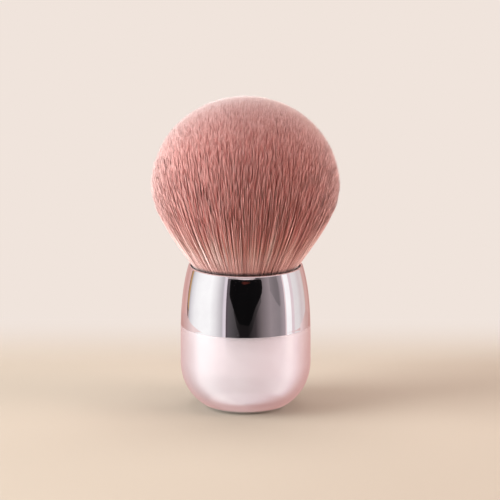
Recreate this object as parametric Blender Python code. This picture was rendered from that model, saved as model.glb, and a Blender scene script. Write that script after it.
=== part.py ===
# Short powder brush with a domed tuft, a weighted pearl handle and a bright metal band.
# Metres, +Z up. The origin is the centre of the flat foot that the brush stands on.
import math

import bmesh
import bpy
from mathutils import Vector
from mathutils.geometry import delaunay_2d_cdt

# Handle, outside
HANDLE_HEIGHT = 0.0415
BELLY_RADIUS = 0.0187
BELLY_HEIGHT = 0.0138
FOOT_SHARE = 0.55
MOUTH_SHARE = 0.872
BASE_CURVE_SHARE = 2.25
SHOULDER_CURVE_SHARE = 3.4

# Handle shell, inside
BORE_INSET = 0.0011
FLOOR_WALL = 0.0020
BOWL_DROP = 0.0014
NECK_DROP = 0.0034
NECK_CHAMFER = 0.0004

# Bright band
BAND_HEIGHT = 0.0173
BAND_WALL = 0.00075
BAND_ROLL = 0.00035

# Cup that carries the tuft
CUP_WALL = 0.0005
CUP_DEPTH_SHARE = 0.64
CUP_FLANGE = 0.0007
CUP_CORNER = 0.0018

# Steel slug in the foot
WEIGHT_PLAY = 0.0010
WEIGHT_HEADROOM = 0.0020
WEIGHT_CHAMFER = 0.0006

# Resin and tuft
BACKING_HEIGHT = 0.0040
BACKING_DROP = 0.0003
HEAD_HEIGHT = 0.0479
HEAD_RADIUS = 0.0268
WIDEST_RISE = 0.0231
UNDERSIDE_CURVE_SHARE = 1.6
FAN_REACH = 0.0252
FAN_LENGTH = 0.0290
FAN_EASE = 0.0020
MID_RISE = 0.0085
TIP_RIPPLE = 0.0008
STRAND_COUNT = 330
STRAND_WIDTH_SHARE = 0.39
RIM_MARGIN_SHARE = 0.75
SHOULDER_SHARE = 0.72
SHOULDER_WIDTH_SHARE = 0.95

# Fits
SEAT_GAP = 0.0003
SLIDE_GAP = 0.0003

# How finely round pieces are drawn
OUTER_STEPS = 60
INNER_STEPS = 48
CURVE_STEPS = 9
CORNER_STEPS = 3
SEARCH_STEPS = 40

GOLDEN_ANGLE = math.pi * (3 - math.sqrt(5))

FOOT_RADIUS = BELLY_RADIUS * FOOT_SHARE
MOUTH_RADIUS = BELLY_RADIUS * MOUTH_SHARE
BAND_BOTTOM = HANDLE_HEIGHT - BAND_HEIGHT
SHOULDER_HEIGHT = BAND_BOTTOM - SEAT_GAP
NECK_TOP = HANDLE_HEIGHT - NECK_DROP
SHELL_BORE = MOUTH_RADIUS - BORE_INSET
WEIGHT_RADIUS = FOOT_RADIUS - WEIGHT_PLAY
CUP_RADIUS = SHELL_BORE - SLIDE_GAP
CUP_TOP = NECK_TOP + SEAT_GAP + CUP_WALL
CUP_BOTTOM = CUP_TOP - HANDLE_HEIGHT * CUP_DEPTH_SHARE
BOWL_HEIGHT = CUP_BOTTOM - BOWL_DROP
WEIGHT_BOTTOM = FLOOR_WALL + SEAT_GAP
WEIGHT_TOP = CUP_BOTTOM - WEIGHT_HEADROOM
BUNDLE_RADIUS = CUP_RADIUS - CUP_WALL - SLIDE_GAP
BACKING_TOP = CUP_TOP - BACKING_DROP
RESIN_BOTTOM = CUP_BOTTOM + CUP_WALL + SEAT_GAP
RESIN_TOP = BACKING_TOP - BACKING_HEIGHT - SEAT_GAP
WAIST_RADIUS = MOUTH_RADIUS - BAND_WALL - SLIDE_GAP
MID_HEIGHT = HANDLE_HEIGHT + MID_RISE
WIDEST_HEIGHT = HANDLE_HEIGHT + WIDEST_RISE
HEAD_TOP = HANDLE_HEIGHT + HEAD_HEIGHT


def clear_scene():
    for thing in list(bpy.data.objects):
        bpy.data.objects.remove(thing)


def make_material(name, colour, roughness, metallic):
    material = bpy.data.materials.new(name)
    material.use_nodes = True
    shader = material.node_tree.nodes["Principled BSDF"]
    shader.inputs["Base Color"].default_value = (*colour, 1)
    shader.inputs["Roughness"].default_value = roughness
    shader.inputs["Metallic"].default_value = metallic
    material.diffuse_color = (*colour, 1)
    return material


def add_piece(name, mesh, material):
    mesh.materials.append(material)
    piece = bpy.data.objects.new(name, mesh)
    bpy.context.scene.collection.objects.link(piece)
    return piece


def turn(name, outline, steps, material):
    # The outline is (radius, height) pairs. It closes on the axis or on its own start.
    bm = bmesh.new()
    verts = [bm.verts.new((radius, 0, height)) for radius, height in outline]
    edges = [bm.edges.new(pair) for pair in zip(verts, verts[1:])]
    if outline[0][0] > 0:
        edges.append(bm.edges.new((verts[-1], verts[0])))
    bmesh.ops.spin(bm, geom=verts + edges, cent=(0, 0, 0), axis=(0, 0, 1), dvec=(0, 0, 0),
                   angle=math.tau, steps=steps, use_merge=True, use_duplicate=False)
    bmesh.ops.remove_doubles(bm, verts=bm.verts, dist=SEAT_GAP / steps)
    bmesh.ops.recalc_face_normals(bm, faces=bm.faces)
    mesh = bpy.data.meshes.new(name)
    bm.to_mesh(mesh)
    bm.free()
    mesh.shade_smooth()
    mesh.set_sharp_from_angle(angle=math.radians(35))
    return add_piece(name, mesh, material)


def handle_radius(height):
    # The outside of the handle: a bowl up to the belly, then a shoulder that closes in to the mouth.
    if height > BELLY_HEIGHT:
        climb = (height - BELLY_HEIGHT) / (HANDLE_HEIGHT - BELLY_HEIGHT)
        return BELLY_RADIUS - (BELLY_RADIUS - MOUTH_RADIUS) * climb ** SHOULDER_CURVE_SHARE
    return bowl_radius(height, 0, FOOT_RADIUS, BELLY_RADIUS, BELLY_HEIGHT)


def bowl_radius(height, bottom, foot, belly, belly_height):
    # A rounded bowl of the given belly, cut flat at its bottom where its radius is foot.
    cut = (1 - (foot / belly) ** BASE_CURVE_SHARE) ** (1 / BASE_CURVE_SHARE)
    depth = cut * (belly_height - height) / (belly_height - bottom)
    return belly * (1 - depth ** BASE_CURVE_SHARE) ** (1 / BASE_CURVE_SHARE)


def levels(low, high, count):
    return [low + (high - low) * step / count for step in range(count + 1)]


def quarter(radius, height, size, start):
    # A rounded corner about (radius, height), a quarter turn from the start angle.
    angles = levels(start, start + math.pi / 2, CORNER_STEPS)
    return [(radius + size * math.cos(a), height + size * math.sin(a)) for a in angles]


def make_handle_shell():
    pearl = make_material("pearl_pink_lacquer", (0.80, 0.57, 0.57), 0.3, 0.35)
    inset = BAND_WALL + SLIDE_GAP
    outline = [(0, 0)]
    outline += [(handle_radius(h), h) for h in levels(0, BELLY_HEIGHT, CURVE_STEPS)]
    outline += [(handle_radius(h), h) for h in levels(BELLY_HEIGHT, SHOULDER_HEIGHT, CORNER_STEPS)[1:]]
    neck = levels(SHOULDER_HEIGHT, NECK_TOP - NECK_CHAMFER, CORNER_STEPS)
    outline += [(handle_radius(h) - inset, h) for h in neck]
    outline += [(handle_radius(NECK_TOP) - inset - NECK_CHAMFER, NECK_TOP), (SHELL_BORE, NECK_TOP)]
    bowl = levels(BOWL_HEIGHT, FLOOR_WALL, CURVE_STEPS // 2)
    outline += [(bowl_radius(h, FLOOR_WALL, FOOT_RADIUS, SHELL_BORE, BOWL_HEIGHT), h) for h in bowl]
    outline += [(0, FLOOR_WALL)]
    return turn("handle_shell", outline, OUTER_STEPS, pearl)


def make_chrome_band():
    chrome = make_material("bright_chrome", (0.90, 0.88, 0.89), 0.06, 1)
    roll_height = HANDLE_HEIGHT - BAND_ROLL
    heights = levels(BAND_BOTTOM, roll_height, CURVE_STEPS - 1)
    outline = [(handle_radius(h), h) for h in heights[:-1]]
    outline += quarter(handle_radius(roll_height) - BAND_ROLL, roll_height, BAND_ROLL, 0)
    inner_roll = handle_radius(roll_height) - BAND_WALL + BAND_ROLL
    outline += quarter(inner_roll, roll_height, BAND_ROLL, math.pi / 2)
    inside = levels(roll_height, BAND_BOTTOM, CORNER_STEPS + 1)[1:]
    outline += [(handle_radius(h) - BAND_WALL, h) for h in inside]
    return turn("chrome_band", outline, OUTER_STEPS, chrome)


def make_ferrule_cup():
    aluminium = make_material("spun_aluminium", (0.75, 0.75, 0.76), 0.35, 1)
    inner = CUP_RADIUS - CUP_WALL
    under_flange = CUP_TOP - CUP_WALL
    flange = CUP_RADIUS + CUP_FLANGE
    floor = CUP_BOTTOM + CUP_WALL
    bend = CUP_CORNER - CUP_WALL
    outline = [(0, CUP_BOTTOM)]
    outline += quarter(CUP_RADIUS - CUP_CORNER, CUP_BOTTOM + CUP_CORNER, CUP_CORNER, -math.pi / 2)
    outline += [(CUP_RADIUS, under_flange), (flange, under_flange), (flange, CUP_TOP), (inner, CUP_TOP)]
    outline += reversed(quarter(inner - bend, floor + bend, bend, -math.pi / 2))
    outline += [(0, floor)]
    return turn("ferrule_cup", outline, INNER_STEPS, aluminium)


def make_resin_plug():
    resin = make_material("amber_resin", (0.55, 0.36, 0.18), 0.3, 0)
    corner = CUP_CORNER - CUP_WALL
    outline = [(0, RESIN_BOTTOM)]
    outline += quarter(BUNDLE_RADIUS - corner, RESIN_BOTTOM + corner, corner, -math.pi / 2)
    outline += [(BUNDLE_RADIUS, RESIN_TOP), (0, RESIN_TOP)]
    return turn("resin_plug", outline, INNER_STEPS, resin)


def make_base_weight():
    steel = make_material("zinc_plated_steel", (0.45, 0.46, 0.48), 0.45, 1)
    shy = WEIGHT_RADIUS - WEIGHT_CHAMFER
    outline = [(0, WEIGHT_BOTTOM), (shy, WEIGHT_BOTTOM), (WEIGHT_RADIUS, WEIGHT_BOTTOM + WEIGHT_CHAMFER)]
    outline += [(WEIGHT_RADIUS, WEIGHT_TOP - WEIGHT_CHAMFER), (shy, WEIGHT_TOP), (0, WEIGHT_TOP)]
    return turn("base_weight", outline, INNER_STEPS, steel)


def fan_radius(height):
    # How far the outermost strand stands from the axis: it eases out of the cup and then fans.
    rise = max(height - CUP_TOP, 0)
    eased = rise * rise / (rise + FAN_EASE)
    return BUNDLE_RADIUS + FAN_REACH * (1 - math.exp(-eased / FAN_LENGTH))


def head_radius(height):
    # The outline that the tips make: a dome above the widest level and a cone that curves in below it.
    if height > WIDEST_HEIGHT:
        climb = (height - WIDEST_HEIGHT) / (HEAD_TOP - WIDEST_HEIGHT)
        return HEAD_RADIUS * math.sqrt(max(1 - climb * climb, 0))
    drop = (WIDEST_HEIGHT - height) / WIDEST_RISE
    return HEAD_RADIUS - (HEAD_RADIUS - WAIST_RADIUS) * drop ** UNDERSIDE_CURVE_SHARE


def tip_height(reach):
    # Where a strand at this share of the bundle's radius meets the head's outline.
    low = WIDEST_HEIGHT - WIDEST_RISE / 2
    high = HEAD_TOP
    for _ in range(SEARCH_STEPS):
        middle = (low + high) / 2
        if reach * fan_radius(middle) < head_radius(middle):
            low = middle
        else:
            high = middle
    return low


def strand_places(width):
    # A sunflower's even spread of centres over the backing.
    limit = BUNDLE_RADIUS - width * RIM_MARGIN_SHARE
    places = []
    for number in range(STRAND_COUNT):
        radius = limit * math.sqrt((number + 0.5) / STRAND_COUNT)
        angle = number * GOLDEN_ANGLE
        places.append(Vector((radius * math.cos(angle), radius * math.sin(angle))))
    return places


def strand_root(place, width):
    # Three corners, with the flat side outward.
    heading = math.atan2(place.y, place.x)
    turns = [heading + math.pi / 3, heading + math.pi, heading - math.pi / 3]
    return [place + width * Vector((math.cos(a), math.sin(a))) for a in turns]


def grow_strand(bm, face, place, number):
    spread = 1
    height = BACKING_TOP
    ripple = TIP_RIPPLE * math.sin(number)
    tip = tip_height(place.length / BUNDLE_RADIUS) - TIP_RIPPLE / 2 + ripple / 2
    shoulder = MID_HEIGHT + (tip - MID_HEIGHT) * SHOULDER_SHARE
    stations = [(HANDLE_HEIGHT, 1), (MID_HEIGHT, 1), (shoulder, SHOULDER_WIDTH_SHARE)]
    for level, width_share in stations:
        face = bmesh.ops.extrude_discrete_faces(bm, faces=[face])["faces"][0]
        wider = fan_radius(level) / BUNDLE_RADIUS
        centre = place * wider
        for vert in face.verts:
            offset = vert.co.xy - place * spread
            vert.co.xy = centre + offset * (wider / spread) * width_share
            vert.co.z += level - height
        spread = wider
        height = level
    point = bmesh.ops.poke(bm, faces=[face])["verts"][0]
    point.co = (*(place * fan_radius(tip) / BUNDLE_RADIUS), tip)


def make_bristle_tuft():
    bristle = make_material("rose_bristle", (0.62, 0.31, 0.28), 0.6, 0)
    cell = BUNDLE_RADIUS * math.sqrt(math.pi / STRAND_COUNT)
    width = cell * STRAND_WIDTH_SHARE
    places = strand_places(width)
    turns = levels(0, math.tau, INNER_STEPS)[:-1]
    points = [BUNDLE_RADIUS * Vector((math.cos(a), math.sin(a))) for a in turns]
    outlines = [list(range(len(points)))]
    for place in places:
        outlines.append([len(points), len(points) + 1, len(points) + 2])
        points += strand_root(place, width)
    flat = delaunay_2d_cdt(points, [], outlines, 1, SEAT_GAP / STRAND_COUNT, True)
    bm = bmesh.new()
    verts = [bm.verts.new((*corner, BACKING_TOP)) for corner in flat[0]]
    roots = {}
    for corners, owners in zip(flat[2], flat[5]):
        face = bm.faces.new([verts[corner] for corner in corners])
        face.normal_update()
        if face.normal.z < 0:
            face.normal_flip()
        strand = max(owners)
        if strand > 0:
            roots[strand - 1] = face
    border = [edge for edge in bm.edges if edge.is_boundary]
    skirt = bmesh.ops.extrude_edge_only(bm, edges=border)["geom"]
    lower = [item for item in skirt if isinstance(item, bmesh.types.BMVert)]
    bmesh.ops.translate(bm, vec=(0, 0, -BACKING_HEIGHT), verts=lower)
    bmesh.ops.contextual_create(bm, geom=[edge for edge in bm.edges if edge.is_boundary])
    for number, place in enumerate(places):
        grow_strand(bm, roots[number], place, number)
    bmesh.ops.recalc_face_normals(bm, faces=bm.faces)
    mesh = bpy.data.meshes.new("bristle_tuft")
    bm.to_mesh(mesh)
    bm.free()
    return add_piece("bristle_tuft", mesh, bristle)


def main():
    clear_scene()
    make_handle_shell()
    make_base_weight()
    make_chrome_band()
    make_ferrule_cup()
    make_resin_plug()
    make_bristle_tuft()


main()
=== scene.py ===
import bpy
import math
import numpy as np
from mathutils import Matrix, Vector


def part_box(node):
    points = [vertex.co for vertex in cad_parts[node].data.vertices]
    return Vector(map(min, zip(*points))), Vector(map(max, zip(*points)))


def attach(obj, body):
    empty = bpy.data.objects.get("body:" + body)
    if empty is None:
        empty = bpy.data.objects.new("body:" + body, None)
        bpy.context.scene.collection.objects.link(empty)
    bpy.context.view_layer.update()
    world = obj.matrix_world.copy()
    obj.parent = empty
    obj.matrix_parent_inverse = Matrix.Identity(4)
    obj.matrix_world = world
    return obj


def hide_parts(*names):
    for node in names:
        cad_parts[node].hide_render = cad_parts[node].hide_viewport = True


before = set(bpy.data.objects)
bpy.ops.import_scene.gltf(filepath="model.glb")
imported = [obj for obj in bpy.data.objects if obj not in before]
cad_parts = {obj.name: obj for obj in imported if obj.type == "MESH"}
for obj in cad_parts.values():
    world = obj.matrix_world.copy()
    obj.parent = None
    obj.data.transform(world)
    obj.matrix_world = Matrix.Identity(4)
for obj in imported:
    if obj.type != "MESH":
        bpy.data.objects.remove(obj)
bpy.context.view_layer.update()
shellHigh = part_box("handle_shell")[1]
bandLow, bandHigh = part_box("chrome_band")
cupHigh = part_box("ferrule_cup")[1]
mm = 0.001
print("stage: frame loaded")


# Small helpers

def deselectAll():
    for thing in bpy.context.selected_objects:
        thing.select_set(False)


def newTree(owner):
    owner.use_nodes = True
    tree = owner.node_tree
    tree.nodes.clear()
    return tree


def addNode(tree, kind, **settings):
    made = tree.nodes.new(kind)
    for key, value in settings.items():
        setattr(made, key, value)
    return made


def setInputs(node, **values):
    for key, value in values.items():
        node.inputs[key.replace("_", " ")].default_value = value
    return node


def link(tree, source, leaves, target, enters):
    tree.links.new(source.outputs[leaves], target.inputs[enters])


def srgb(red, green, blue):
    # colours are noted as seen on screen and turned to linear light here
    shares = [channel / 255 for channel in (red, green, blue)]
    linear = [s / 12.92 if s < 0.04045 else ((s + 0.055) / 1.055) ** 2.4 for s in shares]
    return (*linear, 1)


# Camera at the photograph's angle

cameraPlan = {
    "elevation": math.radians(11.9),
    "distance": 900 * mm,
    "frameWidth": 142.9 * mm,
    "aimHeight": 45.7 * mm,
    "aimSide": 1.26 * mm,
    "sensor": 36.0,
    "nearest": 10 * mm,
    "farthest": 20000 * mm,
}


def addCamera(plan):
    camera = bpy.data.objects.new("camera", bpy.data.cameras.new("camera"))
    bpy.context.scene.collection.objects.link(camera)
    aim = Vector((plan["aimSide"], 0, plan["aimHeight"]))
    back = Vector((0, -math.cos(plan["elevation"]), math.sin(plan["elevation"])))
    camera.location = aim + back * plan["distance"]
    camera.rotation_euler = (math.pi / 2 - plan["elevation"], 0, 0)
    camera.data.sensor_width = plan["sensor"]
    camera.data.lens = plan["sensor"] * plan["distance"] / plan["frameWidth"]
    camera.data.clip_start = plan["nearest"]
    camera.data.clip_end = plan["farthest"]
    bpy.context.scene.camera = camera


addCamera(cameraPlan)
bpy.context.scene.view_settings.view_transform = "Standard"
print("stage: camera")


# Turned pieces: a circle is extruded along an outline of radius and height

handlePlan = {
    "foot": 10.285 * mm,  # radius that stands on the table
    "belly": shellHigh.x,
    "bellyHeight": 13.8 * mm,
    "mouth": 16.3 * mm,  # radius at the top
    "top": bandHigh.z,
    "bandBottom": bandLow.z,
    "baseCurve": 2.25,
    "shoulderCurve": 3.4,
    "bandWall": 0.75 * mm,
    "bandFit": 0.3 * mm,  # gap between the shell's neck and the band
    "rollOuter": 0.50 * mm,
    "rollInner": 0.25 * mm,
    "seam": 0.02 * mm,  # gap between the shell's shoulder and the band
    "edge": 0.02 * mm,  # rounding of the two edges at the seam
    "hold": 0.02 * mm,  # keeps the side's last points off a rounding
    "footEdge": 0.35 * mm,  # the foot's small edge, in two steps
    "footInset": 0.1 * mm,
    "footLift": 0.05 * mm,
    "bore": 15.2 * mm,
    "floor": 2.0 * mm,
    "bowlTop": 10.9 * mm,
    "segments": 160,
    "bellySteps": 26,
    "shoulderSteps": 12,
    "neckSteps": 8,
    "bowlSteps": 8,
    "bandSteps": 30,
    "boreSteps": 10,
    "edgeSteps": 3,
    "outerSteps": 10,
    "innerSteps": 6,
    "weld": 0.002 * mm,  # points nearer than this are merged
    "shellSmooth": math.radians(40),
    "bandSmooth": math.radians(60),
}


def turnPiece(name, outline, solid, smoothAngle, plan):
    deselectAll()
    radius, height = outline[0]
    bpy.ops.mesh.primitive_circle_add(vertices=plan["segments"], radius=radius, location=(0, 0, height),
                                      fill_type="NGON" if solid else "NOTHING")
    piece = bpy.context.object
    piece.name = name
    bpy.ops.object.transform_apply(location=True, rotation=True, scale=True)
    bpy.ops.object.mode_set(mode="EDIT")
    bpy.ops.mesh.select_all(action="SELECT")
    for nextRadius, nextHeight in outline[1:]:
        climb = {"value": (0, 0, nextHeight - height)}
        if solid:
            bpy.ops.mesh.extrude_region_move(TRANSFORM_OT_translate=climb)
        else:
            bpy.ops.mesh.extrude_edges_move(TRANSFORM_OT_translate=climb)
        grow = nextRadius / radius
        bpy.ops.transform.resize(value=(grow, grow, 1), center_override=(0, 0, nextHeight))
        radius, height = nextRadius, nextHeight
    bpy.ops.mesh.select_all(action="SELECT")
    bpy.ops.mesh.remove_doubles(threshold=plan["weld"])
    bpy.ops.mesh.normals_make_consistent(inside=False)
    bpy.ops.object.mode_set(mode="OBJECT")
    bpy.ops.object.shade_smooth_by_angle(angle=smoothAngle)
    return piece


def spaced(low, high, count):
    return [low + (high - low) * step / count for step in range(count + 1)]


def roundCorner(radius, height, size, start, steps):
    # a quarter round about its middle, from the start angle on
    angles = spaced(start, start + math.pi / 2, steps)
    return [(radius + size * math.cos(angle), height + size * math.sin(angle)) for angle in angles]


def bowlRadius(height, bottom, foot, belly, bellyHeight, curve):
    cut = (1 - (foot / belly) ** curve) ** (1 / curve)
    depth = cut * (bellyHeight - height) / (bellyHeight - bottom)
    return belly * (1 - depth ** curve) ** (1 / curve)


def handleRadius(height, plan=handlePlan):
    if height > plan["bellyHeight"]:
        climb = (height - plan["bellyHeight"]) / (plan["top"] - plan["bellyHeight"])
        return plan["belly"] - (plan["belly"] - plan["mouth"]) * climb ** plan["shoulderCurve"]
    return bowlRadius(height, 0, plan["foot"], plan["belly"], plan["bellyHeight"], plan["baseCurve"])


def makeShell(plan):
    edge = plan["edge"]
    neck = plan["bandWall"] + plan["bandFit"]
    shoulder = plan["bandBottom"] - plan["seam"]
    bellyHeights = spaced(plan["footEdge"], plan["bellyHeight"], plan["bellySteps"])
    shoulderHeights = spaced(plan["bellyHeight"], shoulder - edge - plan["hold"], plan["shoulderSteps"])[1:]
    neckHeights = spaced(shoulder, shellHigh.z, plan["neckSteps"])[1:]
    bowlHeights = spaced(plan["bowlTop"], plan["floor"], plan["bowlSteps"])[1:]
    bowl = (plan["floor"], plan["foot"], plan["bore"], plan["bowlTop"], plan["baseCurve"])
    outline = [(plan["foot"] - plan["footEdge"], 0)]
    outline += [(plan["foot"] - plan["footInset"], plan["footLift"])]
    outline += [(handleRadius(height), height) for height in bellyHeights + shoulderHeights]
    outline += roundCorner(handleRadius(shoulder) - edge, shoulder - edge, edge, 0, plan["edgeSteps"])
    outline += [(handleRadius(shoulder) - neck, shoulder)]
    outline += [(handleRadius(height) - neck, height) for height in neckHeights]
    outline += [(plan["bore"], shellHigh.z), (plan["bore"], plan["bowlTop"])]
    outline += [(bowlRadius(height, *bowl), height) for height in bowlHeights]
    return turnPiece("handle_shell_pearl", outline, True, plan["shellSmooth"], plan)


def makeBand(plan):
    edge = plan["edge"]
    wall = plan["bandWall"]
    outer = plan["rollOuter"]
    inner = plan["rollInner"]
    bottom = plan["bandBottom"]
    top = plan["top"] - outer
    innerTop = plan["top"] - inner
    innerMiddle = handleRadius(top) - wall + inner
    outsideHeights = spaced(bottom + edge + plan["hold"], top - plan["hold"], plan["bandSteps"])
    insideHeights = spaced(innerTop, bottom, plan["boreSteps"])[1:]
    outline = [(handleRadius(bottom) - wall, bottom), (handleRadius(bottom) - edge, bottom)]
    outline += roundCorner(handleRadius(bottom) - edge, bottom + edge, edge,
                           -math.pi / 2, plan["edgeSteps"])[1:]
    outline += [(handleRadius(height), height) for height in outsideHeights]
    outline += roundCorner(handleRadius(top) - outer, top, outer, 0, plan["outerSteps"])
    outline += roundCorner(innerMiddle, innerTop, inner, math.pi / 2, plan["innerSteps"])[1:]
    outline += [(handleRadius(height) - wall, height) for height in insideHeights]
    return turnPiece("chrome_band_mirror", outline, False, plan["bandSmooth"], plan)


shell = makeShell(handlePlan)
band = makeBand(handlePlan)
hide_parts("handle_shell")
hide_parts("chrome_band")
print("stage: handle")


# Tuft: fine filaments on the same fan as the CAD strands

tuftPlan = {
    # how many there are, and into how many cells across they are sorted
    "strands": 44000,
    "clumps": 7400,
    "locks": 5200,
    "clumpCells": 46,
    "lockCells": 36,
    "pieces": 9,
    "sides": 3,
    # the bundle, its fan past the cup, and the outline that the head fills
    "bundle": 14.1 * mm,
    "rootHeight": cupHigh.z + 0.2 * mm,
    "bendHeight": cupHigh.z,
    "mouthHeight": bandHigh.z,
    "headRadius": 27.0 * mm,
    "widest": 64.6 * mm,
    "top": 90.1 * mm,
    "waist": 15.3 * mm,
    "undersideCurve": 1.6,
    "fanReach": 26.2 * mm,
    "fanLength": 29.0 * mm,
    "fanEase": 2.0 * mm,
    "halvings": 40,
    # thickness, with more towards the tips of the crown
    "rootThickness": 0.076 * mm,
    "tipThickness": 0.052 * mm,
    "taperCurve": 3,
    "crownWiden": 0.9,
    "crownSpan": (0.55, 0.9),
    "widenCurve": 2,
    # stations: shares of the length, then lengths back from the tip and the most they may be
    "bodyStations": [0.0, 0.30, 0.60],
    "tipStations": [(5.5 * mm, 0.28), (1.7 * mm, 0.10), (0.0, 0.0)],
    "guide": (0.3, 1.0, 0.05),  # no filament runs along this direction
    # how the roots are strewn over the bundle, as shares
    "strandScatter": 0.35,
    "middleScatter": 0.3,
    "middleReach": 0.985,
    "maxReach": 0.99,
    "wallDepth": 0.04,
    # how far tips fall short of the outline, least at the crown
    "shortClump": 0.5 * mm,
    "shortClumpCurve": 1.6,
    "shortOwn": 2.6 * mm,
    "shortOwnCurve": 3,
    "crownCalm": 0.15,
    "wildSpan": (0.45, 0.9),
    "wildCurve": 1.5,
    # how filaments lean to their clump and their lock, and sway
    "clumpPull": 0.9,
    "clumpPullSpan": (0.7, 0.95),
    "clumpPullCurve": 0.5,
    "lockPull": 0.32,
    "lockRoot": 0.2,
    "lockMiddle": 0.5,
    "lockHalf": 0.52,
    "lockLeast": 0.12,
    "clumpSway": 0.02 * mm,
    "ownSway": 0.03 * mm,
    "swayCurve": 1.2,
    # the map: tone across, height up, and where tones turn calm
    "mapStations": [0.0, 0.20, 0.36, 0.52, 0.70, 0.88, 1.0],
    "mapMargin": 0.01,
    "bodySpan": (0.25, 0.40),
    "tipSpan": (0.36, 0.80),
    "mouthSpan": (0.22, 0.46),
    "mouthCalm": 0.88,
    "tipCalm": 0.8,
    "tipCalmCurve": 3,
    "calmTone": 0.66,
    "toneSkew": 2.4,
    "tipClumpShare": 0.6,
    "bodyLockShare": 0.7,
    "seed": 11,
}


def rampUp(value, low, high):
    return np.clip((value - low) / (high - low), 0, 1)


def fanRadius(height, plan):
    rise = np.maximum(height - plan["bendHeight"], 0)
    eased = rise * rise / (rise + plan["fanEase"])
    return plan["bundle"] + plan["fanReach"] * (1 - np.exp(-eased / plan["fanLength"]))


def headRadius(height, plan):
    climb = rampUp(height, plan["widest"], plan["top"])
    dome = plan["headRadius"] * np.sqrt(1 - climb * climb)
    drop = np.clip((plan["widest"] - height) / (plan["widest"] - plan["mouthHeight"]), 0, 1)
    cone = plan["headRadius"] - (plan["headRadius"] - plan["waist"]) * drop ** plan["undersideCurve"]
    return np.where(height > plan["widest"], dome, cone)


def tipHeights(reach, plan):
    low = np.full(reach.shape, (plan["widest"] + plan["mouthHeight"]) / 2)
    high = np.full(reach.shape, plan["top"])
    for _ in range(plan["halvings"]):
        middle = (low + high) / 2
        inside = reach * fanRadius(middle, plan) < headRadius(middle, plan)
        low = np.where(inside, middle, low)
        high = np.where(inside, high, middle)
    return low


def sunflower(count):
    number = np.arange(count)
    radius = np.sqrt((number + 0.5) / count)
    angle = number * math.pi * (3 - math.sqrt(5))
    return np.stack([radius * np.cos(angle), radius * np.sin(angle)], 1)


def scattered(count, plan, random):
    spots = sunflower(count)
    spots += random.normal(0, math.sqrt(math.pi / count) * plan["middleScatter"], spots.shape)
    return spots * np.minimum(1, plan["middleReach"] / np.linalg.norm(spots, axis=1))[:, None]


def cellsOf(spots, cells):
    # the square cell that each spot lies in
    return map(tuple, np.floor((spots + 1) / 2 * cells).astype(int).tolist())


def nearestMiddle(places, middles, cells):
    # the middles are sorted into square cells, and only the nine about each place are searched
    home = {}
    for index, cell in enumerate(cellsOf(middles, cells)):
        home.setdefault(cell, []).append(index)
    chosen = np.zeros(len(places), int)
    for number, (column, row) in enumerate(cellsOf(places, cells)):
        around = [(column + dx, row + dy) for dx in (-1, 0, 1) for dy in (-1, 0, 1)]
        near = [index for cell in around for index in home.get(cell, ())]
        chosen[number] = near[int(np.argmin(((middles[near] - places[number]) ** 2).sum(1)))]
    return chosen


def plantRoots(plan, random):
    # every filament gets a place on a disc of radius 1, with a clump and a wider lock that it leans to
    count = plan["strands"]
    places = sunflower(count)
    places += random.normal(0, math.sqrt(math.pi / count) * plan["strandScatter"], places.shape)
    reach = np.linalg.norm(places, axis=1)
    limit = plan["maxReach"] - plan["wallDepth"] * random.uniform(0, 1, count) ** 2
    places *= (np.minimum(reach, limit) / reach)[:, None]
    reach = np.minimum(reach, limit)
    clumpMiddles = scattered(plan["clumps"], plan, random)
    clump = nearestMiddle(places, clumpMiddles, plan["clumpCells"])
    lockMiddles = scattered(plan["locks"], plan, random)
    lock = nearestMiddle(places, lockMiddles, plan["lockCells"])
    toClump = clumpMiddles[clump] - places
    toLock = (lockMiddles[lock] - places) * plan["lockPull"]
    return places, reach, clump, lock, toClump, toLock


def growFilaments(plan):
    random = np.random.default_rng(plan["seed"])
    count = plan["strands"]
    places, reach, clump, lock, toClump, toLock = plantRoots(plan, random)
    # the crown is smooth, while the sides part into fine locks
    calm = plan["crownCalm"]
    wild = calm + (1 - calm) * rampUp(reach, *plan["wildSpan"]) ** plan["wildCurve"]
    pull = wild * plan["clumpPull"] * random.uniform(*plan["clumpPullSpan"], plan["clumps"])[clump]
    short = plan["shortClump"] * random.uniform(0, 1, plan["clumps"])[clump] ** plan["shortClumpCurve"]
    short += plan["shortOwn"] * random.uniform(0, 1, count) ** plan["shortOwnCurve"]
    sway = random.normal(0, plan["clumpSway"], (plan["clumps"], 2))[clump]
    sway += random.normal(0, plan["ownSway"], (count, 2))
    twist = random.uniform(0, math.tau, count)
    length = tipHeights(reach, plan) - short * wild - plan["mouthHeight"]
    shares = [np.full(count, share) for share in plan["bodyStations"]]
    shares += [1 - np.minimum(reachBack / length, most) for reachBack, most in plan["tipStations"]]
    roots = (places + toLock * plan["lockRoot"]) * plan["bundle"]
    stations = [np.column_stack([roots, np.full(count, plan["rootHeight"])])]
    for share in shares:
        height = plan["mouthHeight"] + length * share
        flat = places + toClump * (pull * share ** plan["clumpPullCurve"])[:, None]
        # the locks gather halfway up, and run evenly into the mouth and the tips
        gather = 1 - ((share - plan["lockMiddle"]) / plan["lockHalf"]) ** 2
        flat += toLock * np.clip(gather, plan["lockLeast"], 1)[:, None]
        flat *= fanRadius(height, plan)[:, None]
        flat += sway * (share ** plan["swayCurve"])[:, None]
        stations.append(np.column_stack([flat, height]))
    return np.stack(stations, 1), twist, clump, lock


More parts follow.
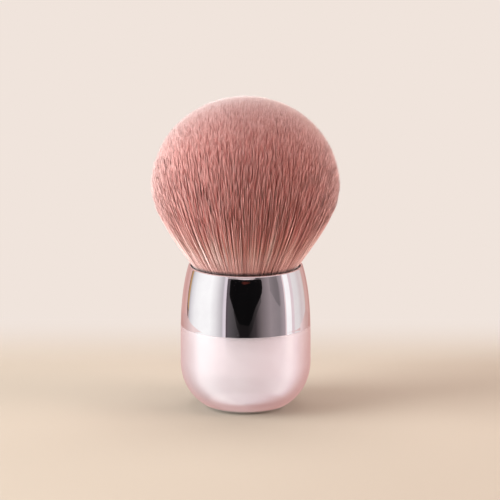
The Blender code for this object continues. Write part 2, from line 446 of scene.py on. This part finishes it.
def strandCorners(paths, twist, widen, plan):
    # the corners about each station of each filament, the last of which comes to a point
    ahead = np.gradient(paths, axis=1)
    ahead /= np.linalg.norm(ahead, axis=2, keepdims=True)
    side = np.cross(ahead, np.array(plan["guide"]))
    side /= np.linalg.norm(side, axis=2, keepdims=True)
    other = np.cross(ahead, side)
    shares = np.array(plan["mapStations"])
    taper = (plan["tipThickness"] - plan["rootThickness"]) * shares ** plan["taperCurve"]
    thickness = (plan["rootThickness"] + taper) * (1 + widen[:, None] * shares ** plan["widenCurve"])
    corners = []
    for number in range(plan["sides"]):
        angle = (twist + number * math.tau / plan["sides"])[:, None, None]
        out = side * np.cos(angle) + other * np.sin(angle)
        corners.append(paths + out * thickness[:, :, None])
    body = np.stack(corners, 2)[:, :-1]
    return np.concatenate([body.reshape(len(paths), -1, 3), paths[:, -1:]], 1)


def strandFaces(levels, sides):
    # one filament's faces: those up its sides, those that close its tip, and the one at its root
    around = [(corner, (corner + 1) % sides) for corner in range(sides)]
    upSides = [[level * sides + a, level * sides + b, (level + 1) * sides + b, (level + 1) * sides + a]
               for level in range(levels - 2) for a, b in around]
    last = (levels - 2) * sides
    atTip = [[last + a, last + b, last + sides] for a, b in around]
    return upSides, atTip, [list(range(sides))[::-1]]


def strandMap(tones, plan):
    # each filament is one column of the map: across for its tone, up for the way from root to tip
    along = np.append(np.repeat(plan["mapStations"][:-1], plan["sides"]), 1.0)
    up = np.tile(along, len(tones))
    toBody = rampUp(up, *plan["bodySpan"])
    toTip = rampUp(up, *plan["tipSpan"])
    atMouth, atBody, atTip = [np.repeat(tones[:, level], len(along)) for level in range(3)]
    across = (atMouth * (1 - toBody) + atBody * toBody) * (1 - toTip) + atTip * toTip
    calm = plan["mouthCalm"] * (1 - rampUp(up, *plan["mouthSpan"]))
    calm += plan["tipCalm"] * up ** plan["tipCalmCurve"]
    across = plan["calmTone"] + (across - plan["calmTone"]) * (1 - calm)
    return plan["mapMargin"] + (1 - 2 * plan["mapMargin"]) * np.stack([across, up], 1)


def strandMesh(name, paths, twist, tones, widen, plan):
    count, levels = paths.shape[:2]
    corners = strandCorners(paths, twist, widen, plan)
    starts = np.arange(count)[:, None, None] * corners.shape[1]
    faceKinds = [starts + np.array(faces) for faces in strandFaces(levels, plan["sides"])]
    loops = np.concatenate([faces.reshape(-1) for faces in faceKinds])
    sizes = np.concatenate([np.full(count * faces.shape[1], faces.shape[2]) for faces in faceKinds])
    mesh = bpy.data.meshes.new(name)
    mesh.vertices.add(count * corners.shape[1])
    mesh.vertices.foreach_set("co", corners.astype(np.float32).reshape(-1))
    mesh.loops.add(len(loops))
    mesh.loops.foreach_set("vertex_index", loops.astype(np.int32))
    mesh.polygons.add(len(sizes))
    mesh.polygons.foreach_set("loop_start", (np.cumsum(sizes) - sizes).astype(np.int32))
    layer = mesh.uv_layers.new(name="OFBake")
    layer.uv.foreach_set("vector", strandMap(tones, plan)[loops].astype(np.float32).reshape(-1))
    mesh.update(calc_edges=True)
    mesh.shade_smooth()
    piece = bpy.data.objects.new(name, mesh)
    bpy.context.scene.collection.objects.link(piece)
    return piece


def makeTuft(plan):
    paths, twist, clump, lock = growFilaments(plan)
    random = np.random.default_rng(plan["seed"] + 1)
    # most filaments are light, and a few dark ones between them read as gaps: the tone is random, but the
    # dark ones, whole locks in the body and clumps near the tips, are painted shade of those gaps
    own, byClump, byLock = [1 - random.uniform(0, 1, plan[key]) ** plan["toneSkew"]
                            for key in ("strands", "clumps", "locks")]
    tipTone = plan["tipClumpShare"] * byClump[clump] + (1 - plan["tipClumpShare"]) * own
    bodyTone = plan["bodyLockShare"] * byLock[lock] + (1 - plan["bodyLockShare"]) * tipTone
    tones = np.stack([own, bodyTone, tipTone], 1)
    # the crown is seen end on, so its filaments are fuller towards their tips
    reach = np.linalg.norm(paths[:, 0, :2], axis=1) / plan["bundle"]
    widen = plan["crownWiden"] * (1 - rampUp(reach, *plan["crownSpan"]))
    order = np.argsort(np.arctan2(paths[:, -1, 1], paths[:, -1, 0]), kind="stable")
    pieces = []
    for number, part in enumerate(np.array_split(order, plan["pieces"]), 1):
        name = f"bristles_{number:02d}"
        piece = strandMesh(name, paths[part], twist[part], tones[part], widen[part], plan)
        pieces.append(piece)
        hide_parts("bristle_tuft")
    return pieces


bristles = makeTuft(tuftPlan)
print("stage: tuft", sum(len(piece.data.polygons) for piece in bristles), "faces")


# Finishes

grainPlan = {
    "inputs": {"Coarse Scale": 400.0, "Fine Scale": 4000.0, "Balance": 0.5},
    "coarse": {"Detail": 4.0, "Roughness": 0.6},
    "fine": {"Detail": 2.0, "Roughness": 0.5},
    "mask": {"From_Min": 0.35, "From_Max": 0.65},
    "bumpDepth": 0.1 * mm,
}


def fineGrain(plan):
    # noise at two scales, shared by every hard finish: a height for bumps and a mask for wear
    group = bpy.data.node_groups.new("fineGrain", "ShaderNodeTree")
    for label, value in plan["inputs"].items():
        made = group.interface.new_socket(name=label, in_out="INPUT", socket_type="NodeSocketFloat")
        made.default_value = value
    for label in ("Height", "Mask"):
        group.interface.new_socket(name=label, in_out="OUTPUT", socket_type="NodeSocketFloat")
    entry = addNode(group, "NodeGroupInput")
    leave = addNode(group, "NodeGroupOutput")
    place = addNode(group, "ShaderNodeTexCoord")
    coarse = setInputs(addNode(group, "ShaderNodeTexNoise"), **plan["coarse"])
    fine = setInputs(addNode(group, "ShaderNodeTexNoise"), **plan["fine"])
    blend = addNode(group, "ShaderNodeMix", data_type="FLOAT")
    spread = setInputs(addNode(group, "ShaderNodeMapRange"), **plan["mask"])
    link(group, place, "Object", coarse, "Vector")
    link(group, place, "Object", fine, "Vector")
    link(group, entry, "Coarse Scale", coarse, "Scale")
    link(group, entry, "Fine Scale", fine, "Scale")
    link(group, entry, "Balance", blend, "Factor")
    link(group, coarse, "Fac", blend, "A")
    link(group, fine, "Fac", blend, "B")
    link(group, coarse, "Fac", spread, "Value")
    link(group, blend, "Result", leave, "Height")
    link(group, spread, "Result", leave, "Mask")
    return group


grainGroup = fineGrain(grainPlan)

finishPlans = {
    "pearlLacquer": {
        "light": srgb(230, 219, 221), "dark": srgb(228, 216, 218), "metallic": 0.85,
        "roughness": (0.225, 0.235), "coat": 0.5, "coatRoughness": 0.2,
        "coarse": 260.0, "fine": 9000.0, "balance": 0.9, "bump": 0.004},
    "mirrorChrome": {
        "light": srgb(250, 248, 249), "dark": srgb(246, 243, 245), "metallic": 1.0,
        "roughness": (0.02, 0.04), "coat": 0.0, "coatRoughness": 0.2,
        "coarse": 180.0, "fine": 2500.0, "balance": 0.3, "bump": 0.002},
    "spunAluminium": {
        "light": srgb(205, 205, 207), "dark": srgb(180, 180, 184), "metallic": 1.0,
        "roughness": (0.32, 0.45), "coat": 0.0, "coatRoughness": 0.2,
        "coarse": 500.0, "fine": 5000.0, "balance": 0.6, "bump": 0.05},
    "setResin": {
        "light": srgb(176, 128, 74), "dark": srgb(140, 92, 46), "metallic": 0.0,
        "roughness": (0.25, 0.4), "coat": 0.0, "coatRoughness": 0.2,
        "coarse": 300.0, "fine": 2500.0, "balance": 0.4, "bump": 0.1},
    "platedSteel": {
        "light": srgb(170, 172, 176), "dark": srgb(132, 134, 140), "metallic": 1.0,
        "roughness": (0.35, 0.5), "coat": 0.0, "coatRoughness": 0.2,
        "coarse": 350.0, "fine": 4500.0, "balance": 0.5, "bump": 0.08},
}


def hardFinish(name):
    plan = finishPlans[name]
    material = bpy.data.materials.new(name)
    tree = newTree(material)
    output = addNode(tree, "ShaderNodeOutputMaterial")
    shader = addNode(tree, "ShaderNodeBsdfPrincipled")
    setInputs(shader, Metallic=plan["metallic"])
    setInputs(shader, Coat_Weight=plan["coat"], Coat_Roughness=plan["coatRoughness"])
    grain = addNode(tree, "ShaderNodeGroup", node_tree=grainGroup)
    setInputs(grain, Coarse_Scale=plan["coarse"], Fine_Scale=plan["fine"], Balance=plan["balance"])
    colour = addNode(tree, "ShaderNodeMix", data_type="RGBA")
    colour.inputs["A"].default_value = plan["light"]
    colour.inputs["B"].default_value = plan["dark"]
    smoothest, roughest = plan["roughness"]
    rough = setInputs(addNode(tree, "ShaderNodeMapRange"), To_Min=smoothest, To_Max=roughest)
    bump = setInputs(addNode(tree, "ShaderNodeBump"), Strength=plan["bump"], Distance=grainPlan["bumpDepth"])
    link(tree, grain, "Mask", colour, "Factor")
    link(tree, grain, "Mask", rough, "Value")
    link(tree, grain, "Height", bump, "Height")
    link(tree, colour, "Result", shader, "Base Color")
    link(tree, rough, "Result", shader, "Roughness")
    link(tree, bump, "Normal", shader, "Normal")
    link(tree, shader, "BSDF", output, "Surface")
    return material


bristlePlan = {
    # colours from the root to the tip: dark inside the cup and just above the mouth, painted shade; a paler
    # band above that, painted bounce light; and a little paler again at the very tip, painted light
    "stops": [(0.0, srgb(30, 14, 12)), (0.205, srgb(90, 44, 38)), (0.245, srgb(206, 162, 155)),
              (0.36, srgb(216, 174, 167)), (0.52, srgb(209, 155, 144)), (0.70, srgb(209, 149, 141)),
              (0.88, srgb(209, 152, 145)), (1.0, srgb(205, 163, 157))],
    "darkPower": 4.3,
    "lightPower": 0.38,
    "roughness": (0.42, 0.52),
    "sheen": 0.5,
    "sheenRoughness": 0.5,
    "sheenTint": srgb(250, 244, 243),
    "specular": 0.65,
    "headCentre": 60 * mm,
    "coneDrop": 8 * mm,
    # painted rim shade: where the whole head turns from view, its colour goes up to this share of the way to
    # a greyer, darker rose
    "rimFrom": 0.1,
    "rimTo": 1.0,
    "paintedRimShare": 0.5,
    "paintedRimColour": srgb(160, 138, 134),
    "softness": 0.6,
}


def filamentTone(tree, plan):
    # up the map runs the colour from root to tip, with its painted shade and light, and across it the tone
    # of each filament
    place = addNode(tree, "ShaderNodeUVMap", uv_map="OFBake")
    split = addNode(tree, "ShaderNodeSeparateXYZ")
    ramp = addNode(tree, "ShaderNodeValToRGB")
    last = len(plan["stops"]) - 1
    for number, (position, colour) in enumerate(plan["stops"]):
        if number in (0, last):
            stop = ramp.color_ramp.elements[0 if number == 0 else -1]
        else:
            stop = ramp.color_ramp.elements.new(position)
        stop.position = position
        stop.color = colour
    tone = addNode(tree, "ShaderNodeMapRange")
    setInputs(tone, To_Min=plan["darkPower"], To_Max=plan["lightPower"])
    # raised to a power, the dark filaments come out redder, painted shade, and the light ones paler, painted
    # light
    shade = addNode(tree, "ShaderNodeGamma")
    smoothest, roughest = plan["roughness"]
    rough = setInputs(addNode(tree, "ShaderNodeMapRange"), To_Min=smoothest, To_Max=roughest)
    link(tree, place, "UV", split, "Vector")
    link(tree, split, "Y", ramp, "Fac")
    link(tree, split, "X", tone, "Value")
    link(tree, split, "X", rough, "Value")
    link(tree, ramp, "Color", shade, "Color")
    link(tree, tone, "Result", shade, "Gamma")
    return shade, rough


def headShading(tree, plan):
    # packed fine hair: the rim of the whole head, by how it faces the view, is painted a greyer, darker
    # rose, a painted rim shade; and it shades softer than each filament alone
    place = addNode(tree, "ShaderNodeTexCoord")
    outward = addNode(tree, "ShaderNodeVectorMath", operation="SUBTRACT")
    outward.inputs[1].default_value = (0, 0, plan["headCentre"])
    # below the belly the head is a cone, so its direction turns no further down
    held = addNode(tree, "ShaderNodeVectorMath", operation="MAXIMUM")
    held.inputs[1].default_value = (-1, -1, -plan["coneDrop"])
    headNormal = addNode(tree, "ShaderNodeVectorMath", operation="NORMALIZE")
    facing = addNode(tree, "ShaderNodeLayerWeight")
    rim = addNode(tree, "ShaderNodeMapRange", interpolation_type="SMOOTHSTEP")
    setInputs(rim, From_Min=plan["rimFrom"], From_Max=plan["rimTo"], To_Max=plan["paintedRimShare"])
    own = addNode(tree, "ShaderNodeNewGeometry")
    soft = addNode(tree, "ShaderNodeMix", data_type="VECTOR")
    soft.inputs["Factor"].default_value = plan["softness"]
    softNormal = addNode(tree, "ShaderNodeVectorMath", operation="NORMALIZE")
    link(tree, place, "Object", outward, 0)
    link(tree, outward, "Vector", held, 0)
    link(tree, held, "Vector", headNormal, 0)
    link(tree, headNormal, "Vector", facing, "Normal")
    link(tree, facing, "Facing", rim, "Value")
    link(tree, own, "Normal", soft, "A")
    link(tree, headNormal, "Vector", soft, "B")
    link(tree, soft, "Result", softNormal, 0)
    return rim, softNormal


def bristleFinish(plan):
    material = bpy.data.materials.new("roseBristle")
    tree = newTree(material)
    output = addNode(tree, "ShaderNodeOutputMaterial")
    shader = addNode(tree, "ShaderNodeBsdfPrincipled")
    setInputs(shader, Sheen_Weight=plan["sheen"], Sheen_Roughness=plan["sheenRoughness"])
    setInputs(shader, Sheen_Tint=plan["sheenTint"], Specular_IOR_Level=plan["specular"])
    shade, rough = filamentTone(tree, plan)
    rim, softNormal = headShading(tree, plan)
    # painted rim shade: the base colour goes toward a greyer, darker rose where the whole head turns from
    # view
    pale = addNode(tree, "ShaderNodeMix", data_type="RGBA")
    pale.inputs["B"].default_value = plan["paintedRimColour"]
    link(tree, rim, "Result", pale, "Factor")
    link(tree, shade, "Color", pale, "A")
    link(tree, pale, "Result", shader, "Base Color")
    link(tree, rough, "Result", shader, "Roughness")
    link(tree, softNormal, "Vector", shader, "Normal")
    link(tree, shader, "BSDF", output, "Surface")
    return material


def dress(piece, material):
    piece.data.materials.clear()
    piece.data.materials.append(material)


pearl = hardFinish("pearlLacquer")
chrome = hardFinish("mirrorChrome")
dress(shell, pearl)
dress(band, chrome)
dress(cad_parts["ferrule_cup"], hardFinish("spunAluminium"))
dress(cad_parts["resin_plug"], hardFinish("setResin"))
dress(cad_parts["base_weight"], hardFinish("platedSteel"))
rose = bristleFinish(bristlePlan)
for piece in bristles:
    dress(piece, rose)
for piece in [shell, band, *bristles]:
    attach(piece, "root")
print("stage: finishes")


# Studio: pale floor, soft light mostly from the left, and the surroundings that the mirror band shows

studioPlan = {
    "floor": srgb(155, 145, 133),
    "backdrop": srgb(240, 228, 220),
    "darkRoom": srgb(20, 18, 18),
    "contactFloor": 11.5 * mm,
    "outerFloor": 1600 * mm,
    "floorDrop": 0.01 * mm,
    "floorSegments": 128,
    "fadeFrom": 45 * mm,
    "fadeTo": 110 * mm,
    "fillColour": srgb(236, 194, 176),
    "fill": 0.49,
    "centre": Vector((0, 0, 35 * mm)),
    "lightAim": Vector((0, 0, 45 * mm)),
    "cardStep": 4,
    "cardRows": 12,
}

lightPlans = {
    "key": {"power": 6.7, "size": (400 * mm, 540 * mm), "from": (-75, 22, 620 * mm)},
    "frontLeft": {"power": 13.6, "size": (420 * mm, 420 * mm), "from": (-68, 0, 620 * mm),
                  "colour": srgb(236, 253, 255), "mirrored": False},
    "front": {"power": 5.2, "size": (420 * mm, 420 * mm), "from": (72, 5, 620 * mm),
              "colour": srgb(255, 222, 208), "mirrored": False},
    "side": {"power": 5.2, "size": (360 * mm, 460 * mm), "from": (78, 4, 620 * mm)},
    "rim": {"power": 2.5, "size": (360 * mm, 460 * mm), "from": (130, 8, 620 * mm)},
    "back": {"power": 0.8, "size": (400 * mm, 400 * mm), "from": (-150, 10, 620 * mm)},
    "top": {"power": 3.0, "size": (420 * mm, 420 * mm), "from": (180, 82, 600 * mm)},
}


def onSphere(azimuth, elevation, distance):
    # azimuth is counted from the camera's side towards the right, both angles in degrees
    a = math.radians(azimuth)
    e = math.radians(elevation)
    way = Vector((math.sin(a) * math.cos(e), -math.cos(a) * math.cos(e), math.sin(e)))
    return studioPlan["centre"] + distance * way


def evenColumns(low, high, glows):
    # a card whose edges run level
    return [(azimuth, low, high, colour) for azimuth, colour in glows.items()]


cardPlans = {
    # distance, then columns of azimuth, lowest and highest elevation in degrees, and screen colour,
    # which past 255 is brighter than white
    "cardRose": (460 * mm, evenColumns(-60, 70, {
        -180: (209, 163, 156), -160: (219, 176, 170), -145: (210, 162, 156), -128: (226, 186, 181),
        -104: (240, 216, 214), -60: (246, 226, 226), 60: (235, 212, 214), 100: (226, 196, 196),
        126: (206, 160, 152), 145: (214, 172, 165), 162: (196, 148, 140), 180: (209, 163, 156)})),
    "cardOutline": (450 * mm, [
        (-129, -5, -2, (105, 82, 78)), (-128.5, -9, 8, (105, 82, 78)), (-126, -10.5, 18, (110, 88, 84)),
        (-122, -11, 24, (120, 100, 98))]),
    "cardTan": (440 * mm, [
        (-127, -6.5, 8, (176, 138, 98)), (-125, -8.6, 20, (196, 156, 112)),
        (-121, -9.4, 24, (186, 146, 104))]),
    "cardWhite": (430 * mm, [
        (-121, -10.8, 24, (186, 182, 186)), (-114, -11.2, 24, (222, 219, 222)),
        (-102, -11.4, 24, (246, 245, 246)), (-86, -11.6, 24, (255, 255, 255)),
        (-66, -12, 24, (255, 255, 255)), (-54, -12, 24, (232, 229, 231)), (-42, -12, 24, (190, 184, 188)),
        (-39, -12, 24, (222, 212, 220)), (-35, -12, 24, (226, 216, 222)),
        (-34.6, -12, 24, (80, 62, 76))]),
    "cardDark": (420 * mm, [
        (-34.6, -12.5, 17, (88, 76, 84)), (-30, -12.5, 17.5, (92, 86, 89)),
        (-22, -12.5, 18, (80, 76, 78)), (-10, -12.5, 18, (54, 50, 51)), (8, -12.5, 18, (44, 40, 41)),
        (18, -12.5, 18, (64, 57, 59)), (28, -12.5, 20, (112, 102, 104)), (45, -12.5, 21, (150, 138, 141)),
        (62, -12, 21, (140, 130, 133)), (74, -12, 20, (172, 158, 163))]),
    "cardBlack": (410 * mm, [
        (-29.5, 7, 16.0, (24, 22, 23)), (-28, 5, 17.2, (16, 14, 15)), (-22, 0, 17.6, (12, 11, 12)),
        (-15, -5, 17.8, (12, 11, 12)), (-10, -7, 17.8, (13, 12, 13)), (6, -7.5, 17.8, (12, 11, 12)),
        (11, -5, 17.8, (13, 12, 13)), (17, 0, 17.6, (14, 13, 14)), (26, 5, 17.4, (15, 13, 14)),
        (30, 8, 17.0, (20, 18, 19)), (31.5, 11, 15.5, (30, 27, 28))]),
    "cardSmudge": (400 * mm, [
        (-8, 15.4, 16.2, (40, 20, 18)), (-3, 14.6, 16.8, (74, 34, 29)), (3, 15.0, 16.6, (66, 30, 26)),
        (9, 15.6, 16.4, (38, 20, 18))]),
    "cardLow": (430 * mm, evenColumns(-54, -12.3, {
        -180: (209, 163, 156), -150: (200, 155, 149), -128: (186, 148, 144), -116: (192, 162, 160),
        -104: (212, 194, 193), -92: (246, 238, 238), -80: (246, 242, 242), -70: (248, 245, 245),
        -58: (238, 232, 232), -40: (232, 224, 224), -10: (231, 223, 223), 30: (228, 218, 219),
        60: (240, 232, 234), 72: (255, 249, 252), 86: (255, 249, 252), 96: (240, 225, 227),
        110: (219, 190, 190), 128: (196, 150, 144), 150: (196, 149, 142), 180: (209, 163, 156)})),
    "cardGround": (435 * mm, evenColumns(-89, -52, {
        -180: (220, 186, 182), -128: (208, 168, 163), -104: (246, 230, 229), -80: (260, 255, 255),
        -40: (247, 240, 241), 0: (243, 235, 237), 60: (236, 223, 225), 90: (225, 198, 199),
        128: (190, 144, 138), 180: (220, 186, 182)})),
    "cardUnder": (425 * mm, [
        (-72, -14.6, -12.4, (228, 218, 218)), (-60, -15.0, -12.4, (290, 276, 276)),
        (-30, -15.5, -12.4, (330, 316, 316)), (20, -15.5, -12.4, (330, 316, 317)),
        (58, -15.0, -12.4, (286, 274, 276)), (74, -14.6, -12.4, (252, 244, 247))]),
    "cardEdgeLeft": (420 * mm, [
        (-150, -12.4, -12.2, (206, 161, 155)), (-129, -15, -10.6, (212, 176, 172)),
        (-118, -15, -11.2, (222, 194, 192)), (-106, -14, -11.5, (236, 214, 214))]),
    "cardEdgeRight": (420 * mm, [
        (112, -14, -11.5, (236, 216, 216)), (124, -15, -11, (220, 188, 185)),
        (134, -15, -10, (206, 170, 164)), (150, -12.4, -12.2, (204, 160, 154))]),
    "cardShade": (415 * mm, [
        (-21, -2, 17, (52, 48, 49)), (-15, -8, 17, (36, 33, 34)), (-9, -11, 17, (27, 24, 25)),
        (4, -11.5, 17, (26, 23, 24)), (11, -9, 17, (36, 33, 34)), (19, -3, 17, (56, 51, 52)),
        (28, 3, 17, (84, 77, 79))]),
    "cardWedge": (410 * mm, [
        (46, 8, 18, (138, 128, 131)), (56, 1, 18, (122, 113, 116)), (63, -2, 14, (118, 109, 112)),
        (66, -1, 6, (150, 138, 141))]),
    "cardStrip": (430 * mm, [
        (76, -11.6, 24, (226, 214, 218)), (77.5, -11.6, 24, (255, 254, 254)),
        (88, -11.7, 24, (255, 252, 252)), (89.5, -11.7, 24, (224, 204, 208)),
        (95, -11.8, 24, (224, 206, 210)), (97, -11.9, 24, (230, 224, 224)),
        (108, -12, 24, (226, 220, 220)), (118, -12, 24, (214, 199, 199)),
        (127, -11.8, 24, (220, 206, 205)), (133, -10.5, 24, (214, 200, 196)),
        (136, -8.5, 24, (206, 176, 168))]),
    "cardCeiling": (470 * mm, evenColumns(22, 85, {
        -180: (226, 205, 202), -120: (250, 246, 247), -40: (250, 246, 247), 20: (222, 212, 214),
        80: (238, 228, 229), 130: (226, 205, 202), 180: (226, 205, 202)})),
}


def cardFinish():
    material = bpy.data.materials.new("cardGlow")
    tree = newTree(material)
    output = addNode(tree, "ShaderNodeOutputMaterial")
    light = addNode(tree, "ShaderNodeEmission")
    colour = addNode(tree, "ShaderNodeAttribute", attribute_name="glow")
    link(tree, colour, "Color", light, "Color")
    link(tree, light, "Emission", output, "Surface")
    return material


def betweenColumns(columns, step):
    # columns every few degrees, so that cards are round and their colours run into each other
    filled = []
    for first, last in zip(columns, columns[1:]):
        count = max(1, round((last[0] - first[0]) / step))
        glows = [srgb(*first[3]), srgb(*last[3])]
        for number in range(count):
            share = number / count
            place = [a + (b - a) * share for a, b in zip(first[:3], last[:3])]
            filled.append((*place, [a + (b - a) * share for a, b in zip(*glows)]))
    return [*filled, (*columns[-1][:3], srgb(*columns[-1][3]))]


def addCard(name, distance, columns, material, plan):
    # a curved reflector round the brush, which only mirror-like surfaces see
    rows = plan["cardRows"]
    verts, faces, colours = [], [], []
    filled = betweenColumns(columns, plan["cardStep"])
    for azimuth, low, high, colour in filled:
        for row in range(rows + 1):
            verts.append(onSphere(azimuth, low + (high - low) * row / rows, distance))
            colours += colour
    for column in range(len(filled) - 1):
        for row in range(rows):
            a = column * (rows + 1) + row
            faces.append((a, a + 1, a + rows + 2, a + rows + 1))
    mesh = bpy.data.meshes.new(name)
    mesh.from_pydata(verts, [], faces)
    mesh.color_attributes.new("glow", "FLOAT_COLOR", "POINT").data.foreach_set("color", colours)
    mesh.materials.append(material)
    card = bpy.data.objects.new(name, mesh)
    bpy.context.scene.collection.objects.link(card)
    card.visible_camera = False
    card.visible_diffuse = False
    card.visible_shadow = False
    card.visible_transmission = False


def addCards(plan):
    material = cardFinish()
    for name, (distance, columns) in cardPlans.items():
        addCard(name, distance, columns, material, plan)


def floorFinish(plan):
    material = bpy.data.materials.new("paleFloor")
    tree = newTree(material)
    output = addNode(tree, "ShaderNodeOutputMaterial")
    matte = setInputs(addNode(tree, "ShaderNodeBsdfDiffuse"), Color=plan["floor"])
    far = setInputs(addNode(tree, "ShaderNodeEmission"), Color=plan["backdrop"])
    place = addNode(tree, "ShaderNodeTexCoord")
    split = addNode(tree, "ShaderNodeSeparateXYZ")
    fade = addNode(tree, "ShaderNodeMapRange", interpolation_type="SMOOTHSTEP")
    setInputs(fade, From_Min=plan["fadeFrom"], From_Max=plan["fadeTo"])
    mix = addNode(tree, "ShaderNodeMixShader")
    link(tree, place, "Object", split, "Vector")
    link(tree, split, "Y", fade, "Value")
    link(tree, fade, "Result", mix, "Fac")
    link(tree, matte, "BSDF", mix, 1)
    link(tree, far, "Emission", mix, 2)
    link(tree, mix, "Shader", output, "Surface")
    return material


def addFloor(plan):
    material = floorFinish(plan)
    # mirror-like surfaces see only the small disc under the foot, and the cards past it
    discs = [("floorContact", plan["contactFloor"], 0, True),
             ("floorWide", plan["outerFloor"], -plan["floorDrop"], False)]
    for name, radius, height, mirrored in discs:
        deselectAll()
        bpy.ops.mesh.primitive_circle_add(vertices=plan["floorSegments"], radius=radius,
                                          location=(0, 0, height), fill_type="NGON")
        piece = bpy.context.object
        piece.name = name
        bpy.ops.object.transform_apply(location=True, rotation=True, scale=True)
        piece.visible_glossy = mirrored
        piece.data.materials.append(material)


def addLights(plan):
    white = srgb(255, 255, 255)
    for name, spec in lightPlans.items():
        light = bpy.data.lights.new(name, "AREA")
        light.shape = "RECTANGLE"
        light.size, light.size_y = spec["size"]
        light.energy = spec["power"]
        light.color = spec.get("colour", white)[:3]
        lamp = bpy.data.objects.new(name, light)
        bpy.context.scene.collection.objects.link(lamp)
        lamp.location = onSphere(*spec["from"])
        lamp.visible_glossy = spec.get("mirrored", True)
        lamp.rotation_euler = (plan["lightAim"] - lamp.location).to_track_quat("-Z", "Y").to_euler()


def addWorld(plan):
    world = bpy.data.worlds.new("studio")
    bpy.context.scene.world = world
    tree = newTree(world)
    output = addNode(tree, "ShaderNodeOutputWorld")
    path = addNode(tree, "ShaderNodeLightPath")
    fill = setInputs(addNode(tree, "ShaderNodeBackground"), Color=plan["fillColour"], Strength=plan["fill"])
    seen = setInputs(addNode(tree, "ShaderNodeBackground"), Color=plan["backdrop"])
    dark = setInputs(addNode(tree, "ShaderNodeBackground"), Color=plan["darkRoom"])
    first = addNode(tree, "ShaderNodeMixShader")
    second = addNode(tree, "ShaderNodeMixShader")
    link(tree, path, "Is Glossy Ray", first, "Fac")
    link(tree, fill, "Background", first, 1)
    link(tree, dark, "Background", first, 2)
    link(tree, path, "Is Camera Ray", second, "Fac")
    link(tree, first, "Shader", second, 1)
    link(tree, seen, "Background", second, 2)
    link(tree, second, "Shader", output, "Surface")


addFloor(studioPlan)
addCards(studioPlan)
addLights(studioPlan)
addWorld(studioPlan)
print("stage: studio")
